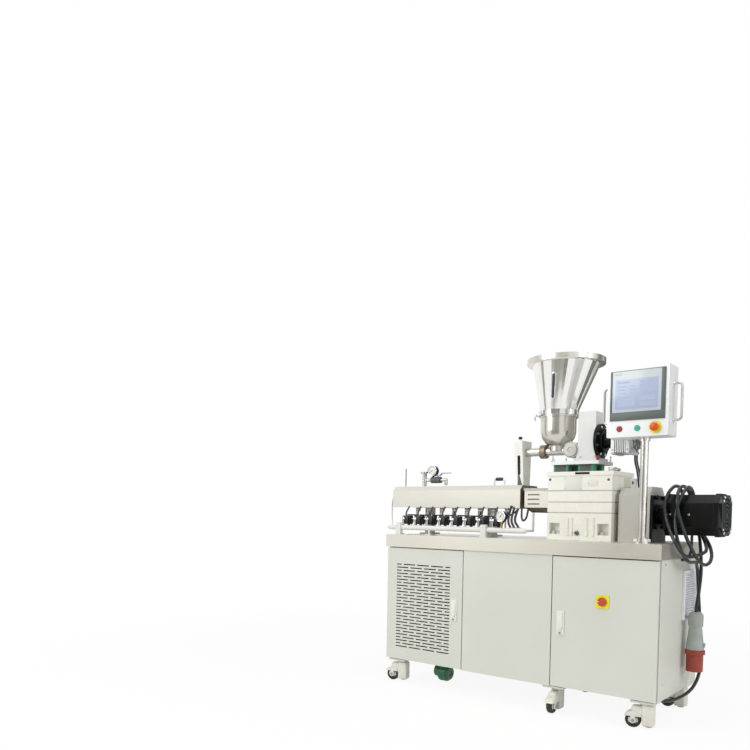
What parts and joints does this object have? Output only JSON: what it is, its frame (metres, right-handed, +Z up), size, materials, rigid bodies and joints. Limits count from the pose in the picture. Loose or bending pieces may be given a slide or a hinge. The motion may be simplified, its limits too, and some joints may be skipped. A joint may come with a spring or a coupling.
{
  "type": "plastic extruder",
  "caption": "Laboratory plastic extruder on a wheeled cabinet: hooded barrel, gearbox and motor on a steel deck, pellet feeder with hopper, and an operator panel on a pole.",
  "frame": {"origin": "middle of the footprint, on the floor under the wheels", "axes": "+X along the machine towards the drive motor, +Y towards the back, +Z up"},
  "size_m": [1.975, 0.681, 1.903],
  "materials": {
    "cabinet_paint": "satin powder coat, warm light grey",
    "stainless": "brushed stainless sheet",
    "satin_steel": "satin stainless cover sheet",
    "ivory_casting": "glossy ivory enamel on castings",
    "white_paint": "white-silver paint",
    "grey_paint": "grey paint",
    "bare_steel": "machined steel",
    "aluminium": "cast aluminium",
    "black_paint": "black enamel",
    "black_plastic": "moulded black plastic",
    "white_plastic": "white moulded plastic",
    "yellow_plastic": "yellow plastic",
    "orange_plastic": "orange-red plastic",
    "red_plastic": "red plastic",
    "teal_plastic": "teal-green plastic",
    "blue_plastic": "blue dipped grip",
    "pump_green": "dark green enamel",
    "bezel": "dark grey bezel",
    "caster_ivory": "ivory enamel on caster casting",
    "caster_tread": "black nylon tread",
    "cord_rubber": "dark grey rubber sheath",
    "plug_plastic": "grey plug body with red collar and sleeve"
  },
  "bodies": {
    "machine": {"floor_pan": "cabinet_paint", "left_end_panel": "cabinet_paint", "right_end_panel": "cabinet_paint", "back_panel": "cabinet_paint", "middle_panel": "cabinet_paint", "deck": "stainless", "side_vent": "white_plastic", "water_pump": "pump_green", "barrel": "bare_steel", "barrel_supports": "bare_steel", "barrel_hood": "satin_steel", "hood_handle": "black_plastic", "vent_stack": "bare_steel", "pressure_gauges": "white_paint", "water_manifold": "white_paint", "solenoid_valves": "black_plastic", "coolant_tubes": "white_plastic", "feed_cover": "satin_steel", "feed_chute": "white_paint", "gearbox": "ivory_casting", "coupling_guard": "grey_paint", "motor_bracket": "grey_paint", "drive_motor": "black_paint", "fan_cover": "aluminium", "feeder_scale": "aluminium", "feeder_column": "white_paint", "feeder_motor": "aluminium", "feed_tube": "stainless", "hopper_bowl": "stainless", "hopper_cone": "stainless", "panel_pole": "stainless", "panel_box": "white_paint", "panel_screen": "bezel", "panel_handles": "stainless", "estop_ring": "yellow_plastic", "machine_cables": "cord_rubber", "mains_cord": "cord_rubber", "mains_plug": "plug_plastic"},
    "left_door": {"left_door": "cabinet_paint", "left_latch": "white_plastic"},
    "right_door": {"right_door": "cabinet_paint", "right_latch": "white_plastic", "isolator_plate": "yellow_plastic"},
    "isolator_knob": {"isolator_knob": "orange_plastic"},
    "vent_lever": {"vent_lever": "blue_plastic"},
    "stop_button": {"stop_button": "red_plastic"},
    "start_button": {"start_button": "teal_plastic"},
    "estop_button": {"estop_button": "orange_plastic"},
    "caster_fl": {"caster_fl": "caster_ivory"},
    "wheel_fl": {"wheel_fl": "caster_tread"},
    "caster_fm": {"caster_fm": "caster_ivory"},
    "wheel_fm": {"wheel_fm": "caster_tread"},
    "caster_fr": {"caster_fr": "caster_ivory"},
    "wheel_fr": {"wheel_fr": "caster_tread"},
    "caster_rl": {"caster_rl": "caster_ivory"},
    "wheel_rl": {"wheel_rl": "caster_tread"},
    "caster_rm": {"caster_rm": "caster_ivory"},
    "wheel_rm": {"wheel_rm": "caster_tread"},
    "caster_rr": {"caster_rr": "caster_ivory"},
    "wheel_rr": {"wheel_rr": "caster_tread"}
  },
  "joints": [
    {"name": "left_door_hinge", "type": "hinge", "parent": "machine", "child": "left_door", "pos_m": [-0.8595, -0.3095, 0.485], "axis": [0, 0, -1], "range_deg": [0, 110]},
    {"name": "right_door_hinge", "type": "hinge", "parent": "machine", "child": "right_door", "pos_m": [0.7745, -0.3095, 0.485], "axis": [0, 0, 1], "range_deg": [0, 110]},
    {"name": "isolator_turn", "type": "hinge", "parent": "right_door", "child": "isolator_knob", "pos_m": [0.5045, -0.3145, 0.609], "axis": [0, 1, 0], "range_deg": [0, 90]},
    {"name": "vent_lever_turn", "type": "hinge", "parent": "machine", "child": "vent_lever", "pos_m": [-0.7195, 0.0105, 1.274], "axis": [0, 0, 1], "range_deg": [0, 90]},
    {"name": "stop_push", "type": "slide", "parent": "machine", "child": "stop_button", "axis": [0, 1, 0], "range_m": [0, 0.004], "stiffness_N_per_m": 600},
    {"name": "start_push", "type": "slide", "parent": "machine", "child": "start_button", "axis": [0, 1, 0], "range_m": [0, 0.004], "stiffness_N_per_m": 600},
    {"name": "estop_push", "type": "slide", "parent": "machine", "child": "estop_button", "axis": [0, 1, 0], "range_m": [0, 0.005], "stiffness_N_per_m": 1500},
    {"name": "swivel_fl", "type": "hinge", "parent": "machine", "child": "caster_fl", "pos_m": [-0.7875, -0.2475, 0.1], "axis": [0, 0, 1], "continuous": true},
    {"name": "roll_fl", "type": "hinge", "parent": "caster_fl", "child": "wheel_fl", "pos_m": [-0.84166, -0.25705, 0.038], "axis": [-0.1736, 0.9848, 0], "continuous": true},
    {"name": "swivel_fm", "type": "hinge", "parent": "machine", "child": "caster_fm", "pos_m": [0.2425, -0.2475, 0.1], "axis": [0, 0, 1], "continuous": true},
    {"name": "roll_fm", "type": "hinge", "parent": "caster_fm", "child": "wheel_fm", "pos_m": [0.2425, -0.3025, 0.038], "axis": [-1, 0, 0], "continuous": true},
    {"name": "swivel_fr", "type": "hinge", "parent": "machine", "child": "caster_fr", "pos_m": [0.7095, -0.2475, 0.1], "axis": [0, 0, 1], "continuous": true},
    {"name": "roll_fr", "type": "hinge", "parent": "caster_fr", "child": "wheel_fr", "pos_m": [0.6557, -0.25894, 0.038], "axis": [-0.2079, 0.9781, 0], "continuous": true},
    {"name": "swivel_rl", "type": "hinge", "parent": "machine", "child": "caster_rl", "pos_m": [-0.7875, 0.2685, 0.1], "axis": [0, 0, 1], "continuous": true},
    {"name": "roll_rl", "type": "hinge", "parent": "caster_rl", "child": "wheel_rl", "pos_m": [-0.84166, 0.27805, 0.038], "axis": [0.1736, 0.9848, 0], "continuous": true},
    {"name": "swivel_rm", "type": "hinge", "parent": "machine", "child": "caster_rm", "pos_m": [0.2425, 0.2685, 0.1], "axis": [0, 0, 1], "continuous": true},
    {"name": "roll_rm", "type": "hinge", "parent": "caster_rm", "child": "wheel_rm", "pos_m": [0.18771, 0.26371, 0.038], "axis": [-0.0872, 0.9962, 0], "continuous": true},
    {"name": "swivel_rr", "type": "hinge", "parent": "machine", "child": "caster_rr", "pos_m": [0.7095, 0.2685, 0.1], "axis": [0, 0, 1], "continuous": true},
    {"name": "roll_rr", "type": "hinge", "parent": "caster_rr", "child": "wheel_rr", "pos_m": [0.65463, 0.27234, 0.038], "axis": [0.0698, 0.9976, 0], "continuous": true}
  ]
}
